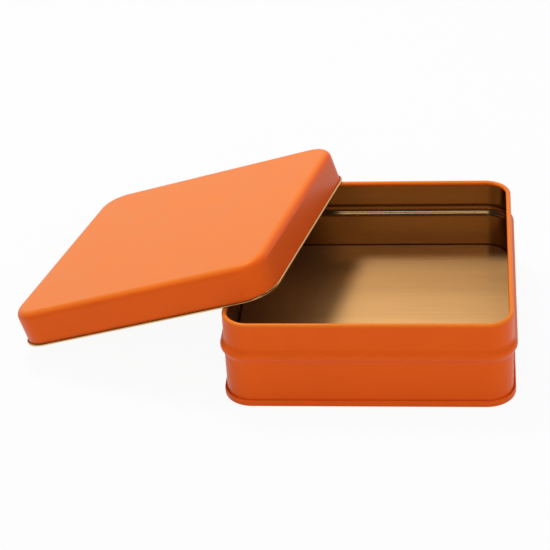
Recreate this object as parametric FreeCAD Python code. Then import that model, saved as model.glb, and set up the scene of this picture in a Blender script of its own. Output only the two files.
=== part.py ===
import FreeCAD, Part
import math
import os
from itertools import combinations

# A square slip-lid tin for sweets, open, with its lid leaning on it.
# Units are millimetres. +Z is up and the tin stands on Z = 0. The origin is the centre of the base.
# +X is to the right and +Y to the back. The lid leans over the left wall, low at the back left.
# Three pieces of sheet: wall (one strip), base (seamed on), lid (one drawing).

# Tin: outside sizes of the wall
width = 120.0
depth = 120.0
height = 40.0
corner_radius = 11.4
sheet = 0.25

# Rolled rim: the wall's top edge turns inwards into a round roll
rim_roll = 2.1
rim_turn = 290.0

# Bead: the outward swelling round the wall, on which the lid stops
bead_height = 24.6
bead_proud = 1.6
bead_width = 8.0

# Lock seam: the strip's two ends, folded into each other inside the left wall
lock_width = 3.2
lock_layers = 2

# Double seam: base and wall hooked into each other, five layers of sheet
seam_height = 3.0
seam_play = 0.1
seam_foot_radius = 0.45
hook_gap = 0.3

# Base panel, raised above the foot of the seam
panel_height = 6.0
panel_edge_radius = 1.0

# Lid: a shallow cap with an outward roll at its lower edge
lid_height = 16.0
lid_clearance = 0.6
lid_top_radius = 3.4
lid_roll = 1.2
lid_roll_turn = 250.0

# How the lid lies: where the outside of its leading corner is, from the tin's back left corner
lid_corner_right = 44.9
lid_corner_back = 8.6
lid_heading = -11.0
rest_gap = 0.1
floor_gap = 0.01

# Worked out from the above
half_x = width / 2
half_y = depth / 2
layer = sheet + seam_play
rim_radius = rim_roll / 2
lid_grown = lid_clearance + sheet
lid_half_x = half_x + lid_grown
lid_half_y = half_y + lid_grown
lid_corner_radius = corner_radius + lid_grown
hook_turn_height = sheet + seam_play + layer + sheet / 2
cover_turn_height = seam_height - layer - sheet / 2
bead_sweep = 2 * math.degrees(math.atan(bead_proud / (bead_width / 2)))
bead_radius = bead_width / 4 / math.sin(math.radians(bead_sweep))
bead_start = bead_height - bead_width / 2
bead_end = bead_height + bead_width / 2
lid_roll_radius = lid_roll / 2

Z_AXIS = FreeCAD.Vector(0, 0, 1)
ORIGIN = FreeCAD.Vector(0, 0, 0)
SETTLE_ROUNDS = 12
ARC_STEPS = 16


def point(out, up):
    """A point of a section: out from the face of the wall, and up."""
    return FreeCAD.Vector(out, 0, up)


def aim(degrees):
    """The direction of a heading: 0 is outwards, 90 is up."""
    angle = math.radians(degrees)
    return point(math.cos(angle), math.sin(angle))


def sheet_section(start, heading, moves):
    """A section of bent sheet as a face. Its middle line starts at a point and follows the moves.

    A move is a length, or a pair (radius of the middle line, degrees), with left turns positive.
    """
    here = start
    edge = sheet / 2
    right_side = []
    left_side = []
    first_cap = (here + aim(heading + 90) * edge, here + aim(heading - 90) * edge)
    for move in moves:
        if isinstance(move, tuple):
            radius, turn = move
            side = 90 if turn > 0 else -90
            centre = here + aim(heading + side) * radius
            for side_edges, offset in ((right_side, -edge), (left_side, edge)):
                reach = radius - math.copysign(offset, turn * offset)
                spokes = [aim(heading - side + turn * share) * reach for share in (0, 0.5, 1)]
                side_edges.append(Part.Arc(*[centre + spoke for spoke in spokes]).toShape())
            heading += turn
            here = centre + aim(heading - side) * radius
        else:
            step = aim(heading) * move
            for side_edges, angle in ((right_side, heading - 90), (left_side, heading + 90)):
                begin = here + aim(angle) * edge
                side_edges.append(Part.LineSegment(begin, begin + step).toShape())
            here = here + step
    last_cap = (here + aim(heading - 90) * edge, here + aim(heading + 90) * edge)
    outline = [Part.LineSegment(*first_cap).toShape()] + right_side
    outline += [Part.LineSegment(*last_cap).toShape()] + left_side[::-1]
    return Part.Face(Part.Wire(Part.__sortEdges__(outline)))


def round_the_tin(section, out_x, out_y, radius):
    """Carry a section round a rounded rectangle: four straight runs and four revolved corners."""
    pieces = []
    for quarter in range(4):
        out, along = (out_x, out_y) if quarter % 2 == 0 else (out_y, out_x)
        run = along - radius
        face = section.translated(FreeCAD.Vector(out, -run, 0))
        side = face.extrude(FreeCAD.Vector(0, 2 * run, 0))
        face = section.translated(FreeCAD.Vector(out, run, 0))
        corner = face.revolve(FreeCAD.Vector(out - radius, run, 0), Z_AXIS, 90)
        for piece in (side, corner):
            piece.rotate(ORIGIN, Z_AXIS, 90 * quarter)
            pieces.append(piece)
    return pieces


def panel(out_x, out_y, radius, top):
    """A flat sheet with rounded corners, its upper face at the given height."""
    slab = Part.makeBox(2 * out_x, 2 * out_y, sheet, FreeCAD.Vector(-out_x, -out_y, top - sheet))
    uprights = [e for e in slab.Edges if abs(e.tangentAt(e.FirstParameter).z) > 0.5]
    return slab.makeFillet(radius, uprights)


def joined(pieces):
    """One clean solid from pieces that meet face to face."""
    return pieces[0].multiFuse(pieces[1:]).removeSplitter().Solids[0]


def make_wall():
    """The strip: hooked into the seam below, swollen at the bead, rolled inwards at the rim."""
    start = point(2 * layer - sheet / 2, cover_turn_height - hook_gap)
    section = sheet_section(start, -90, [
        start.z - hook_turn_height,
        (layer, -180),
        bead_start - hook_turn_height,
        (bead_radius, -bead_sweep),
        (bead_radius, 2 * bead_sweep),
        (bead_radius, -bead_sweep),
        height - rim_radius - bead_end,
        (rim_radius - sheet / 2, rim_turn),
    ])
    return joined(round_the_tin(section, half_x, half_y, corner_radius) + make_lock_seam())


def make_lock_seam():
    """The layers that the strip's ends add on the inside of the left wall, from base to rim."""
    foot = panel_height + panel_edge_radius
    layers = []
    for number in range(1, lock_layers + 1):
        inwards = number * sheet
        section = sheet_section(point(-inwards - sheet / 2, foot), 90, [
            bead_start - foot,
            (bead_radius + inwards, -bead_sweep),
            (bead_radius - inwards, 2 * bead_sweep),
            (bead_radius + inwards, -bead_sweep),
            height - rim_roll - bead_end,
        ])
        strip = section.translated(FreeCAD.Vector(half_x, -lock_width / 2, 0))
        strip = strip.extrude(FreeCAD.Vector(0, lock_width, 0))
        strip.rotate(ORIGIN, Z_AXIS, 180)
        layers.append(strip)
    return layers


def make_base():
    """The bottom panel: down inside the wall, under its hook, up outside it, and back down into it."""
    inset = layer + sheet / 2
    edge_middle = panel_edge_radius - sheet / 2
    foot_height = seam_foot_radius + sheet / 2
    start = point(-inset - edge_middle, panel_height - sheet / 2)
    section = sheet_section(start, 0, [
        (edge_middle, -90),
        panel_height - panel_edge_radius - foot_height,
        (seam_foot_radius, 90),
        4 * layer - 2 * seam_foot_radius,
        (seam_foot_radius, 90),
        cover_turn_height - foot_height,
        (layer, 180),
        cover_turn_height - hook_turn_height - hook_gap,
    ])
    pieces = round_the_tin(section, half_x, half_y, corner_radius)
    inside = inset + edge_middle
    pieces.append(panel(half_x - inside, half_y - inside, corner_radius - inside, panel_height))
    return joined(pieces)


def make_lid():
    """The cap, upright on its own open side: flat top, round shoulder, skirt and outward roll."""
    shoulder = lid_top_radius - sheet / 2
    start = point(-lid_top_radius, lid_height - sheet / 2)
    section = sheet_section(start, 0, [
        (shoulder, -90),
        lid_height - lid_top_radius - lid_roll_radius,
        (lid_roll_radius - sheet / 2, lid_roll_turn),
    ])
    pieces = round_the_tin(section, lid_half_x, lid_half_y, lid_corner_radius)
    inside = lid_top_radius
    pieces.append(panel(lid_half_x - inside, lid_half_y - inside, lid_corner_radius - inside, lid_height))
    return joined(pieces)


def outline(out_x, out_y, radius, up):
    """Points round a rounded rectangle, anticlockwise, as one list for each quarter."""
    quarters = []
    for quarter, (side_x, side_y) in enumerate(((1, 1), (-1, 1), (-1, -1), (1, -1))):
        centre = FreeCAD.Vector(side_x * (out_x - radius), side_y * (out_y - radius), up)
        angles = [math.radians(90 * (quarter + step / ARC_STEPS)) for step in range(ARC_STEPS + 1)]
        quarters.append([centre + FreeCAD.Vector(math.cos(a), math.sin(a), 0) * radius for a in angles])
    return quarters


def sides(quarters):
    """The loop's straight pieces, each as (begin, end)."""
    loop = [spot for quarter in quarters for spot in quarter]
    return list(zip(loop, loop[1:] + loop[:1]))


def crossings(loop_a, loop_b):
    """Where two loops cross, seen from above, as (spot on loop a, direction a, direction b)."""
    found = []
    for a, a_end in sides(loop_a):
        for b, b_end in sides(loop_b):
            along_a = a_end - a
            along_b = b_end - b
            area = along_a.x * along_b.y - along_a.y * along_b.x
            if abs(area) < 1e-9:
                continue
            gap = b - a
            share_a = (gap.x * along_b.y - gap.y * along_b.x) / area
            share_b = (gap.x * along_a.y - gap.y * along_a.x) / area
            if 0 <= share_a < 1 and 0 <= share_b < 1:
                found.append((a + along_a * share_a, along_a, along_b))
    return found


def inside(spot, loop):
    """Whether a spot lies inside an anticlockwise loop, seen from above."""
    return all((b - a).cross(spot - a).z >= 0 for a, b in sides(loop))


def height_on(plane, spot):
    """The height of a plane, given as (height at the origin, rise along X, rise along Y)."""
    return plane.x + plane.y * spot.x + plane.z * spot.y


def settle(limits, middle):
    """The plane that clears every limit, each (spot, least height), and is lowest at the middle.

    It stands on three of the limits, so each three are tried.
    """
    best = None
    for three in combinations(limits, 3):
        rows = [FreeCAD.Vector(1, spot.x, spot.y) for spot, _ in three]
        crossed = [rows[1].cross(rows[2]), rows[2].cross(rows[0]), rows[0].cross(rows[1])]
        volume = rows[0].dot(crossed[0])
        if abs(volume) < 1e-6:
            continue
        plane = sum((row * (least / volume) for row, (_, least) in zip(crossed, three)), FreeCAD.Vector())
        clear = all(height_on(plane, spot) >= least - 1e-6 for spot, least in limits)
        if clear and (best is None or height_on(plane, middle) < height_on(best, middle)):
            best = plane
    return best


def lid_placement():
    """Where the lid comes to rest, from all that it could stand on.

    The plane that is sought holds the middle line of the lid's roll.
    The roll can stand on the floor, and where it crosses the tin's rim. The top can lie on the rim.
    """
    out = lid_roll_radius - sheet
    roll = outline(lid_half_x + out, lid_half_y + out, lid_corner_radius + out, 0)
    rim_level = height - rim_radius
    rim = outline(half_x - rim_radius, half_y - rim_radius, corner_radius - rim_radius, rim_level)
    leading_corner = FreeCAD.Vector(lid_half_x, lid_half_y, 0)
    corner_place = FreeCAD.Vector(lid_corner_right - half_x, lid_corner_back + half_y, 0)
    room = lid_height - sheet - lid_roll_radius
    floor_rest = lid_roll_radius + floor_gap
    plane = FreeCAD.Vector(height, 0, 0)
    for _ in range(SETTLE_ROUNDS):
        up = FreeCAD.Vector(-plane.y, -plane.z, 1).normalize()
        turn = FreeCAD.Rotation(Z_AXIS, up) * FreeCAD.Rotation(Z_AXIS, lid_heading)
        middle = corner_place - turn.multVec(leading_corner)
        middle.z = height_on(plane, middle)
        lying = [[middle + turn.multVec(spot) for spot in quarter] for quarter in roll]
        limits = [(min(quarter, key=lambda spot: spot.z), floor_rest) for quarter in lying]
        for spot, along_roll, along_rim in crossings(lying, rim):
            across = along_roll.cross(along_rim)
            lift = (rim_radius + lid_roll_radius + rest_gap) * across.Length / abs(across.z)
            limits.append((spot, rim_level + lift))
        under_top = rim_level + (rim_radius + rest_gap - room) / up.z
        for quarter in rim:
            covered = [spot for spot in quarter if inside(spot, lying)]
            if covered:
                limits.append((min(covered, key=lambda spot: height_on(plane, spot)), under_top))
        plane = settle(limits, middle)
    return FreeCAD.Placement(middle - turn.multVec(FreeCAD.Vector(0, 0, lid_roll_radius)), turn)


def main():
    """Make the three pieces and write each to its own file."""
    pieces = {"wall": make_wall(), "base": make_base(), "lid": make_lid()}
    pieces["lid"].Placement = lid_placement()
    os.makedirs("parts", exist_ok=True)
    for name, piece in pieces.items():
        piece.exportStep("parts/" + name + ".step")
        box = piece.optimalBoundingBox()
        print(name, piece.isValid(), round(piece.Volume, 1), box)
    print("lid rests", pieces["lid"].Placement)


main()
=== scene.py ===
"""A square slip-lid tin for sweets in satin orange lacquer, gold inside, open, with its lid leaning on it."""
import math

import bpy
from mathutils import Matrix, Vector


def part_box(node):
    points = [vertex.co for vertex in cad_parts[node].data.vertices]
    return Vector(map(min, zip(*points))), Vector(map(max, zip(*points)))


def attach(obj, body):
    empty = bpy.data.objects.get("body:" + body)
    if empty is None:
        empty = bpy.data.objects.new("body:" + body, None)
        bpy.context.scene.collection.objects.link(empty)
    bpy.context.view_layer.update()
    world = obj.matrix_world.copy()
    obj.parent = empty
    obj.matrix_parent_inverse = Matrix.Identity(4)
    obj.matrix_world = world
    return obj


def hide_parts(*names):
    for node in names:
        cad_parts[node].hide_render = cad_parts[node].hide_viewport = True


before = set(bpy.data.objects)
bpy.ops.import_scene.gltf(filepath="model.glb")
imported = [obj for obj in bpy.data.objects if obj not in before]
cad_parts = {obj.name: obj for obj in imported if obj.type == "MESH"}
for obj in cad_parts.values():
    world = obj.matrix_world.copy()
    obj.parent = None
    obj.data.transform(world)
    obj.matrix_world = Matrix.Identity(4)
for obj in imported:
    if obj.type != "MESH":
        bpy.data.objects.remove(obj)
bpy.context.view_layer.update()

MM = 0.001

# Sheet sizes, as in the part's source
SHEET = 0.25 * MM
LAYER_PLAY = 0.1 * MM
LAYER = SHEET + LAYER_PLAY
HOOK_GAP = 0.3 * MM
CORNER_RADIUS = 11.4 * MM
RIM_RADIUS = 1.05 * MM
RIM_TURN = 290
BEAD_HEIGHT = 24.6 * MM
BEAD_PROUD = 1.6 * MM
BEAD_WIDTH = 8.0 * MM
BEAD_SWEEP = 2 * math.degrees(math.atan(BEAD_PROUD / (BEAD_WIDTH / 2)))
BEAD_RADIUS = BEAD_WIDTH / 4 / math.sin(math.radians(BEAD_SWEEP))
SEAM_HEIGHT = 3.0 * MM
FOOT_RADIUS = 0.45 * MM
PANEL_EDGE_RADIUS = 1.0 * MM
LID_GROWN = 0.85 * MM
LID_TOP_RADIUS = 3.4 * MM
LID_ROLL_RADIUS = 0.6 * MM
LID_ROLL_TURN = 250

# The lock seam's strip: its width, the rounding of its edges, and the share of its thickness sunk in the wall
LOCK_WIDTH = 3.2 * MM
LOCK_FOLD = 0.5 * MM
LOCK_BURIED = 0.25

# The heights at which the double seam's hooks turn: the wall's at the foot, and the base's at the top
HOOK_TURN = SHEET + LAYER_PLAY + LAYER + SHEET / 2
COVER_TURN = SEAM_HEIGHT - LAYER - SHEET / 2

# How finely the sheet is meshed, in degrees, in metres and in numbers of steps
ARC_STEP = 15
LONGEST_STEP = 4 * MM
CORNER_STEPS = 24
SIDE_STEPS = 24
PANEL_RINGS = 12
FOLD_STEPS = 4

# The camera, in degrees and millimetres from the centre of the tin's base
CAMERA_PLACE = Vector((44.76, -703.89, 466.05)) * MM
CAMERA_PITCH = 31.778
CAMERA_HEADING = 7.093
CAMERA_ROLL = -3.898
CAMERA_LENS = 125.03
SENSOR_WIDTH = 36
CLIP_START = 10 * MM

# How far the floor reaches, how white it is, and how much of it is seen as plain white
FLOOR_REACH = 6.0
FLOOR_WHITE = 0.75
FLOOR_SEEN_WHITE = 0.94

# The world's strength for the light it gives, and for reflections away from the backdrop and of it
WORLD_LIGHT = 0.45
WORLD_DIM = 0.08
WORLD_BRIGHT = 1.0

# How much of a direction points to the back where the backdrop begins, and where it is full
BACKDROP_BEGINS = 0.3
BACKDROP_FULL = 0.75

LAMP_TARGET = Vector((0, 0, 20)) * MM


def linear(red, green, blue):
    """An sRGB colour, 0 to 255, as the linear colour that shaders take."""
    def one(value):
        value /= 255
        return value / 12.92 if value <= 0.04045 else ((value + 0.055) / 1.055) ** 2.4
    return (one(red), one(green), one(blue), 1.0)


def add_object(name, data):
    """A new object in the scene."""
    item = bpy.data.objects.new(name, data)
    bpy.context.collection.objects.link(item)
    return item


# ---------------------------------------------------------------- meshes of bent sheet


# The material slots of a piece
OUTSIDE, INSIDE, EDGE, ROLL = range(4)


def aim(degrees):
    """The direction of a heading in a section: 0 is outwards, 90 is up."""
    return Vector((math.cos(math.radians(degrees)), math.sin(math.radians(degrees))))


def sheet_rows(start, heading, moves):
    """The two faces of a bent sheet's section, as lists of (out, up, normal out, normal up).

    Its middle line starts at a point and follows the moves: lengths, or pairs (radius, degrees).
    The first list is the face on the right of the line, the second is the one on its left.
    """
    here = Vector(start)
    stations = [(here.copy(), heading)]
    for move in moves:
        if isinstance(move, tuple):
            radius, turn = move
            side = 90 if turn > 0 else -90
            centre = here + aim(heading + side) * radius
            steps = max(2, math.ceil(abs(turn) / ARC_STEP))
            for step in range(1, steps + 1):
                now = heading + turn * step / steps
                stations.append((centre + aim(now - side) * radius, now))
            here, heading = stations[-1][0].copy(), heading + turn
        else:
            steps = max(1, math.ceil(move / LONGEST_STEP))
            begin = here.copy()
            for step in range(1, steps + 1):
                here = begin + aim(heading) * (move * step / steps)
                stations.append((here.copy(), heading))
    faces = []
    for side in (-90, 90):
        spots = [(place + aim(now + side) * (SHEET / 2), aim(now + side)) for place, now in stations]
        faces.append([(spot.x, spot.y, normal.x, normal.y) for spot, normal in spots])
    return faces


def path(out_x, out_y, radius):
    """Stations round a rounded rectangle: (centre of the turn, outward direction), anticlockwise."""
    signs = ((1, 1), (-1, 1), (-1, -1), (1, -1))
    centres = [Vector((side_x * (out_x - radius), side_y * (out_y - radius))) for side_x, side_y in signs]
    stations = []
    for quarter, centre in enumerate(centres):
        next_centre = centres[(quarter + 1) % len(centres)]
        for step in range(CORNER_STEPS + 1):
            stations.append((centre, aim(90 * (quarter + step / CORNER_STEPS))))
        for step in range(1, SIDE_STEPS):
            stations.append((centre.lerp(next_centre, step / SIDE_STEPS), aim(90 * (quarter + 1))))
    return stations


class SheetMesh:
    """Collects the rings, fills and normals of one piece of sheet, with a material for each face of it."""

    def __init__(self, out_x, out_y, radius):
        self.stations = path(out_x, out_y, radius)
        self.radius = radius
        self.vertices = []
        self.polygons = []
        self.normals = []
        self.slots = []

    def ring(self, out, up):
        """One loop of vertices at an offset and a height."""
        first = len(self.vertices)
        for centre, outward in self.stations:
            spot = centre + outward * (self.radius + out)
            self.vertices.append((spot.x, spot.y, up))
        return first

    def normal(self, station, out, up):
        """The 3-D direction of a normal given in the section."""
        outward = self.stations[station][1]
        return Vector((outward.x * out, outward.y * out, up)).normalized()

    def band(self, first, second, normal_a, normal_b, slot, flip):
        """Faces between two loops, with the section's normals at each."""
        count = len(self.stations)
        for k in range(count):
            after = (k + 1) % count
            corners = [(first + k, k, normal_a), (first + after, after, normal_a),
                       (second + after, after, normal_b), (second + k, k, normal_b)]
            if flip:
                corners.reverse()
            self.polygons.append([vertex for vertex, _, _ in corners])
            self.normals += [self.normal(station, *section) for _, station, section in corners]
            self.slots.append(slot)

    def strip(self, rows, slot, flip):
        """One face of the sheet, carried all round."""
        loops = [self.ring(out, up) for out, up, _, _ in rows]
        for k in range(len(rows) - 1):
            self.band(loops[k], loops[k + 1], rows[k][2:], rows[k + 1][2:], slot, flip)
        return loops

    def lip(self, first, second, normal, slot, flip):
        """The cut edge of the sheet."""
        self.band(first, second, normal, normal, slot, flip)

    def fill(self, loop, up, facing, slot):
        """A flat panel inside a loop: rings that shrink to its middle. It faces up for 1 and down for -1."""
        count = len(self.stations)
        edge = [Vector(self.vertices[loop + k]) for k in range(count)]
        previous = loop
        up_normal = (0.0, facing)
        for ring_number in range(1, PANEL_RINGS):
            share = 1 - ring_number / PANEL_RINGS
            first = len(self.vertices)
            self.vertices += [(corner.x * share, corner.y * share, up) for corner in edge]
            self.band(previous, first, up_normal, up_normal, slot, facing < 0)
            previous = first
        self.vertices.append((0, 0, up))
        middle = len(self.vertices) - 1
        for k in range(count):
            corners = [previous + k, previous + (k + 1) % count, middle]
            if facing < 0:
                corners.reverse()
            self.polygons.append(corners)
            self.normals += [Vector((0, 0, facing))] * 3
            self.slots.append(slot)

    def make(self, name, materials, placement=Matrix.Identity(4)):
        """The mesh object, smooth, with its normals. It keeps each point's place before the move."""
        mesh = bpy.data.meshes.new(name)
        mesh.from_pydata(self.vertices, [], self.polygons)
        for material in materials:
            mesh.materials.append(material)
        mesh.polygons.foreach_set("material_index", self.slots)
        mesh.polygons.foreach_set("use_smooth", [True] * len(self.polygons))
        mesh.normals_split_custom_set(self.normals)
        grain = mesh.attributes.new("sheet_place", "FLOAT_VECTOR", "POINT")
        grain.data.foreach_set("vector", [value for vertex in self.vertices for value in vertex])
        mesh.transform(placement)
        mesh.update()
        return add_object(name, mesh)


def two_faces(sheet, rows, right_slot, left_slot):
    """Both faces of a section, carried all round. Returns the loops of each face, in order."""
    right, left = rows
    right_loops = sheet.strip(right, right_slot, False)
    left_loops = sheet.strip(left, left_slot, True)
    return right_loops, left_loops


def end_normal(rows, last):
    """The section's direction out of a cut end."""
    here = rows[-1] if last else rows[0]
    before = rows[-2] if last else rows[1]
    way = Vector((here[0] - before[0], here[1] - before[1])).normalized()
    return (way.x, way.y)


# ---------------------------------------------------------------- the lid's place, from the frame


# How the lid's right-hand side is told: at right angles to the top, and facing mostly along X
NEARLY_LEVEL = 0.02
MOSTLY_RIGHT = 0.7


def lid_frame():
    """The lid's own axes and size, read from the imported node: its flat top and its straight sides."""
    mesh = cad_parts["lid"].data
    facings = {}
    for polygon in mesh.polygons:
        key = tuple(round(value, 2) for value in polygon.normal)
        facing = facings.setdefault(key, [0.0, Vector()])
        facing[0] += polygon.area
        facing[1] += polygon.normal * polygon.area
    largest_first = sorted(facings.values(), key=lambda item: -item[0])
    ways = [total.normalized() for _, total in largest_first]
    up = next(way for way in ways if way.z > 0)
    right = next(way for way in ways if abs(way.dot(up)) < NEARLY_LEVEL and way.x > MOSTLY_RIGHT)
    right = (right - up * right.dot(up)).normalized()
    back = up.cross(right)
    spans = []
    for axis in (right, back, up):
        reach = [vertex.co.dot(axis) for vertex in mesh.vertices]
        spans.append((min(reach), max(reach)))
    centre = right * sum(spans[0]) / 2 + back * sum(spans[1]) / 2 + up * spans[2][0]
    placement = Matrix((right, back, up)).transposed().to_4x4()
    placement.translation = centre
    sizes = [high - low for low, high in spans]
    return placement, sizes


# ---------------------------------------------------------------- materials


# The colour sockets of a Mix node, by number
MIX_FIRST, MIX_SECOND, MIX_RESULT = 6, 7, 2

# The middle stretch of a noise, which is spread over the whole of what it drives
NOISE_LOW = 0.3
NOISE_HIGH = 0.7
GRAIN_LOW = 0.35
GRAIN_HIGH = 0.65


class Nodes:
    """A short way to write a material's nodes."""

    def __init__(self, name):
        self.material = bpy.data.materials.new(name)
        self.material.use_nodes = True
        self.tree = self.material.node_tree
        self.tree.nodes.clear()

    def feed(self, socket, value):
        """Link a socket to a value that is another socket, or else set it."""
        if isinstance(value, bpy.types.NodeSocket):
            self.tree.links.new(value, socket)
        else:
            socket.default_value = value

    def add(self, kind, inputs=None, **settings):
        """A node with its settings and its inputs."""
        node = self.tree.nodes.new(kind)
        for key, value in settings.items():
            setattr(node, key, value)
        for key, value in (inputs or {}).items():
            self.feed(node.inputs[key], value)
        return node

    def math(self, operation, *values):
        node = self.add("ShaderNodeMath", operation=operation)
        for socket, value in zip(node.inputs, values):
            self.feed(socket, value)
        return node.outputs[0]

    def mix(self, factor, first, second):
        inputs = {"Factor": factor, MIX_FIRST: first, MIX_SECOND: second}
        return self.add("ShaderNodeMix", inputs, data_type="RGBA").outputs[MIX_RESULT]

    def noise(self, place, scale, detail=2.0, roughness=0.5):
        inputs = {"Vector": place, "Scale": scale, "Detail": detail, "Roughness": roughness}
        return self.add("ShaderNodeTexNoise", inputs).outputs["Fac"]

    def between(self, value, low, high, to_low, to_high):
        """A value from one range carried over to another."""
        inputs = {"Value": value, "From Min": low, "From Max": high, "To Min": to_low, "To Max": to_high}
        return self.add("ShaderNodeMapRange", inputs).outputs["Result"]

    def place(self):
        """The place on the sheet, before the piece was moved."""
        return self.add("ShaderNodeAttribute", attribute_name="sheet_place").outputs["Vector"]

    def stretched(self, place, scale):
        return self.add("ShaderNodeMapping", {"Vector": place, "Scale": scale}).outputs["Vector"]

    def bump(self, height, strength, distance):
        inputs = {"Height": height, "Strength": strength, "Distance": distance}
        return self.add("ShaderNodeBump", inputs).outputs[0]

    def shown(self, shader):
        """The material, with this shader on its surface."""
        self.add("ShaderNodeOutputMaterial", {"Surface": shader.outputs[0]})
        return self.material


def orange_lacquer(name, painted_light_band):
    """Satin orange lacquer. Within a band of heights it turns from the sides' colour to a paler one. This is
    painted light on the upward faces and a painted highlight on the tin's rim.
    """
    n = Nodes(name)
    place = n.place()
    cloud = n.noise(place, CLOUD_SCALE)
    peel = n.noise(place, PEEL_SCALE)
    up = n.add("ShaderNodeSeparateXYZ", {"Vector": place}).outputs["Z"]
    shade = n.between(cloud, NOISE_LOW, NOISE_HIGH, *ORANGE_SHADE)
    # Painted light: the orange pales towards the top of each piece, where the light falls strongest
    colour = n.mix(n.between(up, *painted_light_band, 0.0, 1.0), SIDE_ORANGE, PAINTED_LIGHT_ORANGE)
    shader = n.add("ShaderNodeBsdfPrincipled", {
        "Base Color": n.add("ShaderNodeVectorMath", {0: colour, 1: shade}, operation="MULTIPLY").outputs[0],
        "Roughness": n.between(cloud, NOISE_LOW, NOISE_HIGH, *ORANGE_ROUGHNESS),
        "Normal": n.bump(peel, PEEL_STRENGTH, PEEL_DEPTH),
        "Specular Tint": ORANGE_SPECULAR_TINT,
        "Specular IOR Level": ORANGE_SPECULAR_LEVEL,
    })
    return n.shown(shader)


def gold_lacquer(name, light, dark, metallic, roughness, streaks):
    """Gold food lacquer over rolled tinplate: metallic, with long fine grain lines along X."""
    n = Nodes(name)
    place = n.place()
    grain = n.noise(n.stretched(place, GRAIN_SCALE), 1.0, detail=3, roughness=0.6)
    broad = n.noise(n.stretched(place, BROAD_GRAIN_SCALE), 1.0)
    mixed = n.math("ADD", n.math("MULTIPLY", grain, 1 - BROAD_SHARE), n.math("MULTIPLY", broad, BROAD_SHARE))
    shader = n.add("ShaderNodeBsdfPrincipled", {
        "Base Color": n.mix(n.between(mixed, GRAIN_LOW, GRAIN_HIGH, 0.0, 1.0), dark, light),
        "Roughness": n.between(broad, NOISE_LOW, NOISE_HIGH, roughness - GOLD_ROUGHNESS_PLAY,
                               roughness + GOLD_ROUGHNESS_PLAY),
        "Normal": n.bump(grain, streaks, STREAK_DEPTH),
        "Metallic": metallic,
    })
    return n.shown(shader)


def bare_edge():
    """The cut edge of the tinplate."""
    n = Nodes("cut_edge")
    grain = n.noise(n.place(), CUT_SCALE)
    shader = n.add("ShaderNodeBsdfPrincipled", {
        "Base Color": CUT_COLOUR,
        "Roughness": n.between(grain, NOISE_LOW, NOISE_HIGH, *CUT_ROUGHNESS),
        "Metallic": 1.0,
    })
    return n.shown(shader)


# Noise scales in cycles per metre, depths of relief in metres, and the ranges that the noise drives
CLOUD_SCALE = 60
ORANGE_SHADE = (0.97, 1.0)
ORANGE_ROUGHNESS = (0.34, 0.40)
ORANGE_SPECULAR_LEVEL = 0.3
PEEL_SCALE = 2200
PEEL_STRENGTH = 0.05
PEEL_DEPTH = 0.06 * MM
GRAIN_SCALE = (25, 2200, 2200)
BROAD_GRAIN_SCALE = (6, 260, 260)
BROAD_SHARE = 0.15
STREAK_DEPTH = 0.08 * MM
GOLD_ROUGHNESS_PLAY = 0.015
CUT_SCALE = 900
CUT_ROUGHNESS = (0.35, 0.5)

# Linear colours
SIDE_ORANGE = (0.88, 0.118, 0.0095, 1)
# The paler orange is painted light: the lit upward faces drawn lighter than the sides
PAINTED_LIGHT_ORANGE = (0.90, 0.212, 0.021, 1)
ORANGE_SPECULAR_TINT = (1.0, 0.45, 0.15, 1)
CUT_COLOUR = linear(150, 120, 90)

# The heights between which the orange pales, just under each piece's top: painted light on the lid's top and
# shoulder, and a painted highlight on the tin's rim
TIN_PAINTED_LIGHT_BAND = (38.6 * MM, 39.6 * MM)
LID_PAINTED_LIGHT_BAND = (14.3 * MM, 16 * MM)

TIN_ORANGE = orange_lacquer("orange_lacquer", TIN_PAINTED_LIGHT_BAND)
LID_ORANGE = orange_lacquer("orange_lacquer_lid", LID_PAINTED_LIGHT_BAND)
# A darker copy of the inner gold, for the walls and the lid's inside: painted shade
PAINTED_SHADE_GOLD = gold_lacquer(
    "gold_lacquer", light=(0.37, 0.212, 0.090, 1), dark=(0.335, 0.19, 0.079, 1),
    metallic=1.0, roughness=0.18, streaks=0.05)
BASE_GOLD = gold_lacquer(
    "gold_lacquer_base", light=(0.85, 0.490, 0.192, 1), dark=(0.78, 0.440, 0.165, 1),
    metallic=0.93, roughness=0.47, streaks=0.15)
LID_GOLD = gold_lacquer(
    "gold_lacquer_lid", light=(0.78, 0.48, 0.20, 1), dark=(0.70, 0.43, 0.175, 1),
    metallic=1.0, roughness=0.24, streaks=0.05)
CUT = bare_edge()


# ---------------------------------------------------------------- the three pieces


def wall_half():
    """Half the wall's width and depth, without the bead, from the frame."""
    low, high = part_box("wall")
    return (high[0] - low[0]) / 2 - BEAD_PROUD, (high[1] - low[1]) / 2 - BEAD_PROUD


def make_wall():
    """The side strip: its hook in the double seam, the bead, and the rim rolled inwards."""
    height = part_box("wall")[1][2]
    half_x, half_y = wall_half()
    start = (2 * LAYER - SHEET / 2, COVER_TURN - HOOK_GAP)
    rows = sheet_rows(start, -90, [
        start[1] - HOOK_TURN,
        (LAYER, -180),
        BEAD_HEIGHT - BEAD_WIDTH / 2 - HOOK_TURN,
        (BEAD_RADIUS, -BEAD_SWEEP),
        (BEAD_RADIUS, 2 * BEAD_SWEEP),
        (BEAD_RADIUS, -BEAD_SWEEP),
        height - RIM_RADIUS - BEAD_HEIGHT - BEAD_WIDTH / 2,
        (RIM_RADIUS - SHEET / 2, RIM_TURN),
    ])
    sheet = SheetMesh(half_x, half_y, CORNER_RADIUS)
    right, left = two_faces(sheet, rows, OUTSIDE, INSIDE)
    sheet.lip(right[0], left[0], end_normal(rows[0], False), EDGE, True)
    sheet.lip(right[-1], left[-1], end_normal(rows[0], True), EDGE, False)
    add_lock_seam(sheet, half_x, height)
    # The wall's inside takes the darker gold, which is painted shade
    return sheet.make("tin_wall", [TIN_ORANGE, PAINTED_SHADE_GOLD, CUT])


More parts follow.
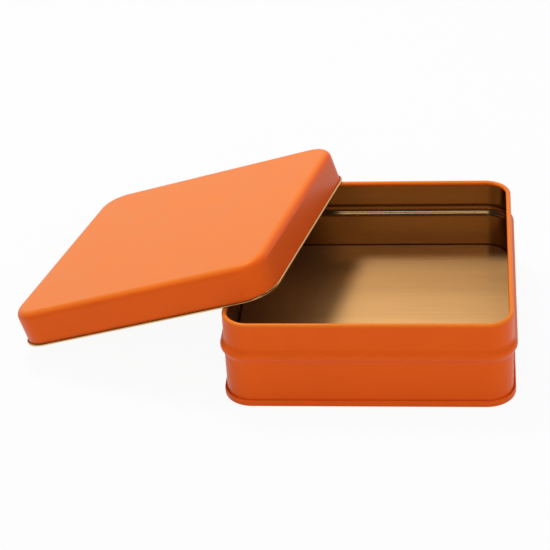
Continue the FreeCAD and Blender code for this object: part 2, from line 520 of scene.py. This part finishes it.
def add_lock_seam(sheet, half_x, height):
    """The folded strip on the inside of the left wall, where the two ends of the wall hook together.

    It is a closed strip of its own, which follows the wall over the bead, with its back sunk in the wall.
    """
    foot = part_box("base")[1][2] + PANEL_EDGE_RADIUS
    bead_start = BEAD_HEIGHT - BEAD_WIDTH / 2
    faces = []
    for inwards in (0, 2 * SHEET):
        rows = sheet_rows((-inwards - SHEET / 2, foot), 90, [
            bead_start - foot,
            (BEAD_RADIUS + inwards, -BEAD_SWEEP),
            (BEAD_RADIUS - inwards, 2 * BEAD_SWEEP),
            (BEAD_RADIUS + inwards, -BEAD_SWEEP),
            height - 2 * RIM_RADIUS - bead_start - BEAD_WIDTH,
        ])
        faces.append([Vector((out, up)) for out, up, _, _ in rows[1]])
    turns = [math.radians(90 * step / FOLD_STEPS) for step in range(FOLD_STEPS + 1)]
    side = [(LOCK_WIDTH / 2, -LOCK_BURIED)]
    side += [(LOCK_WIDTH / 2 - LOCK_FOLD * (1 - math.cos(turn)), math.sin(turn)) for turn in turns]
    profile = side + [(-across, proud) for across, proud in side[::-1]]
    first = len(sheet.vertices)
    for flush, proud in zip(*faces):
        for across, share in profile:
            spot = flush + (proud - flush) * share
            sheet.vertices.append((-half_x - spot.x, across, spot.y))
    count = len(profile)
    quads = []
    for row in range(len(faces[0]) - 1):
        near = first + row * count
        for k in range(count):
            after = (k + 1) % count
            quads.append([near + k, near + count + k, near + count + after, near + after])
    last = first + (len(faces[0]) - 1) * count
    quads.append([first + k for k in range(count)])
    quads.append([last + k for k in reversed(range(count))])
    for quad in quads:
        # A zero normal leaves the corner's normal to Blender
        sheet.polygons.append(quad)
        sheet.normals += [Vector()] * len(quad)
        sheet.slots.append(INSIDE)


def make_base():
    """The raised panel, turned down inside the wall, under its hook and up round the outside of it."""
    panel_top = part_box("base")[1][2]
    half_x, half_y = wall_half()
    inset = LAYER + SHEET / 2
    edge_middle = PANEL_EDGE_RADIUS - SHEET / 2
    foot = FOOT_RADIUS + SHEET / 2
    start = (-inset - edge_middle, panel_top - SHEET / 2)
    rows = sheet_rows(start, 0, [
        (edge_middle, -90),
        panel_top - PANEL_EDGE_RADIUS - foot,
        (FOOT_RADIUS, 90),
        4 * LAYER - 2 * FOOT_RADIUS,
        (FOOT_RADIUS, 90),
        COVER_TURN - foot,
        (LAYER, 180),
        COVER_TURN - HOOK_TURN - HOOK_GAP,
    ])
    sheet = SheetMesh(half_x, half_y, CORNER_RADIUS)
    right, left = two_faces(sheet, rows, OUTSIDE, INSIDE)
    sheet.lip(right[-1], left[-1], end_normal(rows[0], True), EDGE, False)
    sheet.fill(left[0], panel_top, 1, INSIDE)
    sheet.fill(right[0], panel_top - SHEET, -1, OUTSIDE)
    return sheet.make("tin_base", [TIN_ORANGE, BASE_GOLD, CUT])


def make_lid():
    """The cap: its flat top, round shoulder and skirt, and the outward roll with a gold of its own."""
    placement, (width, depth, height) = lid_frame()
    roll_out = 2 * LID_ROLL_RADIUS - SHEET
    half_x = width / 2 - roll_out
    half_y = depth / 2 - roll_out
    shoulder = LID_TOP_RADIUS - SHEET / 2
    rows = sheet_rows((-LID_TOP_RADIUS, height - SHEET / 2), 0, [
        (shoulder, -90),
        height - LID_TOP_RADIUS - LID_ROLL_RADIUS,
        (LID_ROLL_RADIUS - SHEET / 2, LID_ROLL_TURN),
    ])
    sheet = SheetMesh(half_x, half_y, CORNER_RADIUS + LID_GROWN)
    right, left = two_faces(sheet, rows, INSIDE, OUTSIDE)
    sheet.lip(right[-1], left[-1], end_normal(rows[0], True), EDGE, False)
    sheet.fill(left[0], height, 1, OUTSIDE)
    sheet.fill(right[0], height - SHEET, -1, INSIDE)
    roll_top = 2 * LID_ROLL_RADIUS + SHEET
    for number, polygon in enumerate(sheet.polygons):
        highest = max(sheet.vertices[corner][2] for corner in polygon)
        if sheet.slots[number] == INSIDE and highest <= roll_top:
            sheet.slots[number] = ROLL
    # The lid's inside takes the darker gold: painted shade under the lid
    return sheet.make("lid_cap", [LID_ORANGE, PAINTED_SHADE_GOLD, CUT, LID_GOLD], placement)


def dress(piece, node):
    """The piece rides on the root body and stands for a node, which is hidden."""
    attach(piece, "root")
    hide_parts(node)


dress(make_wall(), "wall")
dress(make_base(), "base")
dress(make_lid(), "lid")


# ---------------------------------------------------------------- floor, light and camera


def seen_white(n):
    """1 for what the camera, a reflection or a see-through body sees, and 0 for light on other things."""
    rays = n.add("ShaderNodeLightPath")
    seen = n.math("MAXIMUM", rays.outputs["Is Camera Ray"], rays.outputs["Is Glossy Ray"])
    return n.math("MAXIMUM", seen, rays.outputs["Is Transmission Ray"])


def make_floor():
    """A pale floor, seen nearly white, which keeps a faint shadow."""
    mesh = bpy.data.meshes.new("floor")
    signs = ((-1, -1), (1, -1), (1, 1), (-1, 1))
    corners = [(FLOOR_REACH * side_x, FLOOR_REACH * side_y, 0) for side_x, side_y in signs]
    mesh.from_pydata(corners, [], [(0, 1, 2, 3)])
    n = Nodes("floor")
    lit = n.add("ShaderNodeBsdfDiffuse", {"Color": (FLOOR_WHITE, FLOOR_WHITE, FLOOR_WHITE, 1)})
    glow = n.add("ShaderNodeEmission", {"Color": (1, 1, 1, 1), "Strength": 1.0})
    share = n.math("MULTIPLY", seen_white(n), FLOOR_SEEN_WHITE)
    mesh.materials.append(n.shown(n.add("ShaderNodeMixShader", {
        "Fac": share, 1: lit.outputs[0], 2: glow.outputs[0]})))
    add_object("floor", mesh)


class WorldNodes(Nodes):
    """The same short way, for the world's nodes."""

    def __init__(self, world):
        world.use_nodes = True
        self.tree = world.node_tree
        self.tree.nodes.clear()


def make_world():
    """White to the camera. Reflections see a white backdrop behind the tin and a dim room elsewhere."""
    world = bpy.data.worlds.new("studio")
    bpy.context.scene.world = world
    n = WorldNodes(world)
    rays = n.add("ShaderNodeLightPath").outputs
    way = n.add("ShaderNodeTexCoord").outputs["Generated"]
    backwards = n.add("ShaderNodeSeparateXYZ", {"Vector": way}).outputs["Y"]
    mirrored = n.between(backwards, BACKDROP_BEGINS, BACKDROP_FULL, WORLD_DIM, WORLD_BRIGHT)
    strength = n.between(rays["Is Glossy Ray"], 0.0, 1.0, WORLD_LIGHT, mirrored)
    strength = n.math("MAXIMUM", strength, rays["Is Camera Ray"])
    strength = n.math("MAXIMUM", strength, rays["Is Transmission Ray"])
    background = n.add("ShaderNodeBackground", {"Strength": strength})
    n.add("ShaderNodeOutputWorld", {"Surface": background.outputs[0]})


def add_softbox(name, place, size, watts, mirrored=True):
    """A rectangular lamp aimed at the tin. Reflections show it only where mirrored is true."""
    light = bpy.data.lights.new(name, "AREA")
    light.shape = "RECTANGLE"
    light.size, light.size_y = size
    light.energy = watts
    lamp = add_object(name, light)
    lamp.location = place
    lamp.rotation_euler = (LAMP_TARGET - Vector(place)).to_track_quat("-Z", "Y").to_euler()
    lamp.visible_glossy = mirrored


def make_camera():
    pitch = math.radians(CAMERA_PITCH)
    heading = math.radians(CAMERA_HEADING)
    roll = math.radians(CAMERA_ROLL)
    ahead = math.cos(pitch)
    forward = Vector((-math.sin(heading) * ahead, math.cos(heading) * ahead, -math.sin(pitch)))
    level = Vector((math.cos(heading), math.sin(heading), 0))
    up = level.cross(forward)
    right = level * math.cos(roll) + up * math.sin(roll)
    up = up * math.cos(roll) - level * math.sin(roll)
    data = bpy.data.cameras.new("camera")
    data.lens = CAMERA_LENS
    data.sensor_width = SENSOR_WIDTH
    data.clip_start = CLIP_START
    camera = add_object("camera", data)
    turn = Matrix((right, up, -forward)).transposed().to_4x4()
    camera.matrix_world = Matrix.Translation(CAMERA_PLACE) @ turn
    bpy.context.scene.camera = camera


make_floor()
make_world()
add_softbox("overhead", place=(-0.25, 0.33, 0.88), size=(0.25, 0.22), watts=5.5)
add_softbox("front", place=(0.1, -1.05, 0.5), size=(0.6, 0.35), watts=2.0, mirrored=False)
add_softbox("right", place=(1.0, -0.1, 0.45), size=(0.6, 0.5), watts=1.2, mirrored=False)
add_softbox("front_gleam", place=(0.09, -0.7, 0.745), size=(0.55, 0.2), watts=0.85)
make_camera()
bpy.context.scene.view_settings.view_transform = "Standard"
